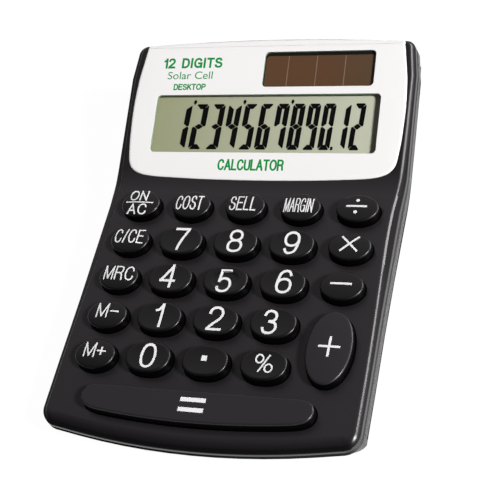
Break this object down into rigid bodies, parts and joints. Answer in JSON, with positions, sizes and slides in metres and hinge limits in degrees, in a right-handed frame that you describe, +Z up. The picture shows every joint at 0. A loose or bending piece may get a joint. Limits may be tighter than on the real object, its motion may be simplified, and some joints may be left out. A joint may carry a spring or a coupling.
{
  "type": "desktop calculator",
  "caption": "Bent-slab solar desk calculator with a tilted display panel, sprung oval keys over a rubber key sheet and a full-width bottom key.",
  "frame": {"origin": "middle of the footprint on the table", "axes": "+Y from the front edge towards the display, +X to the user's right, +Z up"},
  "size_m": [0.103, 0.1476, 0.0369],
  "materials": {
    "case_black": "satin, very fine texture",
    "lower_case_black": "satin, fine spark texture",
    "key_black": "satin with a soft sheen, white printed legends",
    "panel_white": "warm white, semi-gloss, green printing",
    "clear_pane": "clear",
    "lcd_grey": "grey-green liquid crystal behind a matt polariser",
    "solar_brown": "dark brown amorphous cell",
    "ribbon_amber": "flexible film",
    "wire_red": "insulated lead",
    "wire_black": "insulated lead",
    "sheet_rubber": "silicone",
    "board_green": "solder mask",
    "chip_resin": "resin drop",
    "capacitor_sleeve": "sleeved can",
    "screw_steel": "plated",
    "grip_black": "ribbed",
    "foot_rubber": "matt"
  },
  "bodies": {
    "case": {"upper_case": "case_black", "display_panel": "panel_white", "lcd_window": "clear_pane", "solar_window": "clear_pane", "lcd_glass": "lcd_grey", "solar_cell": "solar_brown", "lcd_ribbon": "ribbon_amber", "solar_wire_red": "wire_red", "solar_wire_black": "wire_black", "key_sheet": "sheet_rubber", "circuit_board": "board_green", "chip_resin": "chip_resin", "capacitor": "capacitor_sleeve", "board_screw_1": "screw_steel", "board_screw_2": "screw_steel", "board_screw_3": "screw_steel", "board_screw_4": "screw_steel", "case_screw_1": "screw_steel", "case_screw_2": "screw_steel", "case_screw_3": "screw_steel", "case_screw_4": "screw_steel", "case_screw_5": "screw_steel", "case_screw_6": "screw_steel", "lower_case": "lower_case_black", "side_grip_right": "grip_black", "side_grip_left": "grip_black", "foot_1": "foot_rubber", "foot_2": "foot_rubber", "foot_3": "foot_rubber", "foot_4": "foot_rubber"},
    "key_on_ac_body": {"key_on_ac": "key_black"},
    "key_cost_body": {"key_cost": "key_black"},
    "key_sell_body": {"key_sell": "key_black"},
    "key_margin_body": {"key_margin": "key_black"},
    "key_divide_body": {"key_divide": "key_black"},
    "key_c_ce_body": {"key_c_ce": "key_black"},
    "key_7_body": {"key_7": "key_black"},
    "key_8_body": {"key_8": "key_black"},
    "key_9_body": {"key_9": "key_black"},
    "key_multiply_body": {"key_multiply": "key_black"},
    "key_mrc_body": {"key_mrc": "key_black"},
    "key_4_body": {"key_4": "key_black"},
    "key_5_body": {"key_5": "key_black"},
    "key_6_body": {"key_6": "key_black"},
    "key_minus_body": {"key_minus": "key_black"},
    "key_m_minus_body": {"key_m_minus": "key_black"},
    "key_1_body": {"key_1": "key_black"},
    "key_2_body": {"key_2": "key_black"},
    "key_3_body": {"key_3": "key_black"},
    "key_m_plus_body": {"key_m_plus": "key_black"},
    "key_0_body": {"key_0": "key_black"},
    "key_point_body": {"key_point": "key_black"},
    "key_percent_body": {"key_percent": "key_black"},
    "key_plus_body": {"key_plus": "key_black"},
    "key_equals_body": {"key_equals": "key_black"}
  },
  "joints": [
    {"name": "press_on_ac", "type": "slide", "parent": "case", "child": "key_on_ac_body", "axis": [0, 0.0698, -0.9976], "range_m": [0, 0.0015], "stiffness_N_per_m": 120, "springref_m": -0.002, "deforming": ["key_sheet"]},
    {"name": "press_cost", "type": "slide", "parent": "case", "child": "key_cost_body", "axis": [0, 0.0698, -0.9976], "range_m": [0, 0.0015], "stiffness_N_per_m": 120, "springref_m": -0.002, "deforming": ["key_sheet"]},
    {"name": "press_sell", "type": "slide", "parent": "case", "child": "key_sell_body", "axis": [0, 0.0698, -0.9976], "range_m": [0, 0.0015], "stiffness_N_per_m": 120, "springref_m": -0.002, "deforming": ["key_sheet"]},
    {"name": "press_margin", "type": "slide", "parent": "case", "child": "key_margin_body", "axis": [0, 0.0698, -0.9976], "range_m": [0, 0.0015], "stiffness_N_per_m": 120, "springref_m": -0.002, "deforming": ["key_sheet"]},
    {"name": "press_divide", "type": "slide", "parent": "case", "child": "key_divide_body", "axis": [0, 0.0698, -0.9976], "range_m": [0, 0.0015], "stiffness_N_per_m": 120, "springref_m": -0.002, "deforming": ["key_sheet"]},
    {"name": "press_c_ce", "type": "slide", "parent": "case", "child": "key_c_ce_body", "axis": [0, 0.0698, -0.9976], "range_m": [0, 0.0015], "stiffness_N_per_m": 120, "springref_m": -0.002, "deforming": ["key_sheet"]},
    {"name": "press_7", "type": "slide", "parent": "case", "child": "key_7_body", "axis": [0, 0.0698, -0.9976], "range_m": [0, 0.0015], "stiffness_N_per_m": 120, "springref_m": -0.002, "deforming": ["key_sheet"]},
    {"name": "press_8", "type": "slide", "parent": "case", "child": "key_8_body", "axis": [0, 0.0698, -0.9976], "range_m": [0, 0.0015], "stiffness_N_per_m": 120, "springref_m": -0.002, "deforming": ["key_sheet"]},
    {"name": "press_9", "type": "slide", "parent": "case", "child": "key_9_body", "axis": [0, 0.0698, -0.9976], "range_m": [0, 0.0015], "stiffness_N_per_m": 120, "springref_m": -0.002, "deforming": ["key_sheet"]},
    {"name": "press_multiply", "type": "slide", "parent": "case", "child": "key_multiply_body", "axis": [0, 0.0698, -0.9976], "range_m": [0, 0.0015], "stiffness_N_per_m": 120, "springref_m": -0.002, "deforming": ["key_sheet"]},
    {"name": "press_mrc", "type": "slide", "parent": "case", "child": "key_mrc_body", "axis": [0, 0.0698, -0.9976], "range_m": [0, 0.0015], "stiffness_N_per_m": 120, "springref_m": -0.002, "deforming": ["key_sheet"]},
    {"name": "press_4", "type": "slide", "parent": "case", "child": "key_4_body", "axis": [0, 0.0698, -0.9976], "range_m": [0, 0.0015], "stiffness_N_per_m": 120, "springref_m": -0.002, "deforming": ["key_sheet"]},
    {"name": "press_5", "type": "slide", "parent": "case", "child": "key_5_body", "axis": [0, 0.0698, -0.9976], "range_m": [0, 0.0015], "stiffness_N_per_m": 120, "springref_m": -0.002, "deforming": ["key_sheet"]},
    {"name": "press_6", "type": "slide", "parent": "case", "child": "key_6_body", "axis": [0, 0.0698, -0.9976], "range_m": [0, 0.0015], "stiffness_N_per_m": 120, "springref_m": -0.002, "deforming": ["key_sheet"]},
    {"name": "press_minus", "type": "slide", "parent": "case", "child": "key_minus_body", "axis": [0, 0.0698, -0.9976], "range_m": [0, 0.0015], "stiffness_N_per_m": 120, "springref_m": -0.002, "deforming": ["key_sheet"]},
    {"name": "press_m_minus", "type": "slide", "parent": "case", "child": "key_m_minus_body", "axis": [0, 0.0698, -0.9976], "range_m": [0, 0.0015], "stiffness_N_per_m": 120, "springref_m": -0.002, "deforming": ["key_sheet"]},
    {"name": "press_1", "type": "slide", "parent": "case", "child": "key_1_body", "axis": [0, 0.0698, -0.9976], "range_m": [0, 0.0015], "stiffness_N_per_m": 120, "springref_m": -0.002, "deforming": ["key_sheet"]},
    {"name": "press_2", "type": "slide", "parent": "case", "child": "key_2_body", "axis": [0, 0.0698, -0.9976], "range_m": [0, 0.0015], "stiffness_N_per_m": 120, "springref_m": -0.002, "deforming": ["key_sheet"]},
    {"name": "press_3", "type": "slide", "parent": "case", "child": "key_3_body", "axis": [0, 0.0698, -0.9976], "range_m": [0, 0.0015], "stiffness_N_per_m": 120, "springref_m": -0.002, "deforming": ["key_sheet"]},
    {"name": "press_m_plus", "type": "slide", "parent": "case", "child": "key_m_plus_body", "axis": [0, 0.0698, -0.9976], "range_m": [0, 0.0015], "stiffness_N_per_m": 120, "springref_m": -0.002, "deforming": ["key_sheet"]},
    {"name": "press_0", "type": "slide", "parent": "case", "child": "key_0_body", "axis": [0, 0.0698, -0.9976], "range_m": [0, 0.0015], "stiffness_N_per_m": 120, "springref_m": -0.002, "deforming": ["key_sheet"]},
    {"name": "press_point", "type": "slide", "parent": "case", "child": "key_point_body", "axis": [0, 0.0698, -0.9976], "range_m": [0, 0.0015], "stiffness_N_per_m": 120, "springref_m": -0.002, "deforming": ["key_sheet"]},
    {"name": "press_percent", "type": "slide", "parent": "case", "child": "key_percent_body", "axis": [0, 0.0698, -0.9976], "range_m": [0, 0.0015], "stiffness_N_per_m": 120, "springref_m": -0.002, "deforming": ["key_sheet"]},
    {"name": "press_plus", "type": "slide", "parent": "case", "child": "key_plus_body", "axis": [0, 0.0698, -0.9976], "range_m": [0, 0.0015], "stiffness_N_per_m": 120, "springref_m": -0.002, "deforming": ["key_sheet"]},
    {"name": "press_equals", "type": "slide", "parent": "case", "child": "key_equals_body", "axis": [0, 0.0698, -0.9976], "range_m": [0, 0.0015], "stiffness_N_per_m": 120, "springref_m": -0.002, "deforming": ["key_sheet"]}
  ]
}
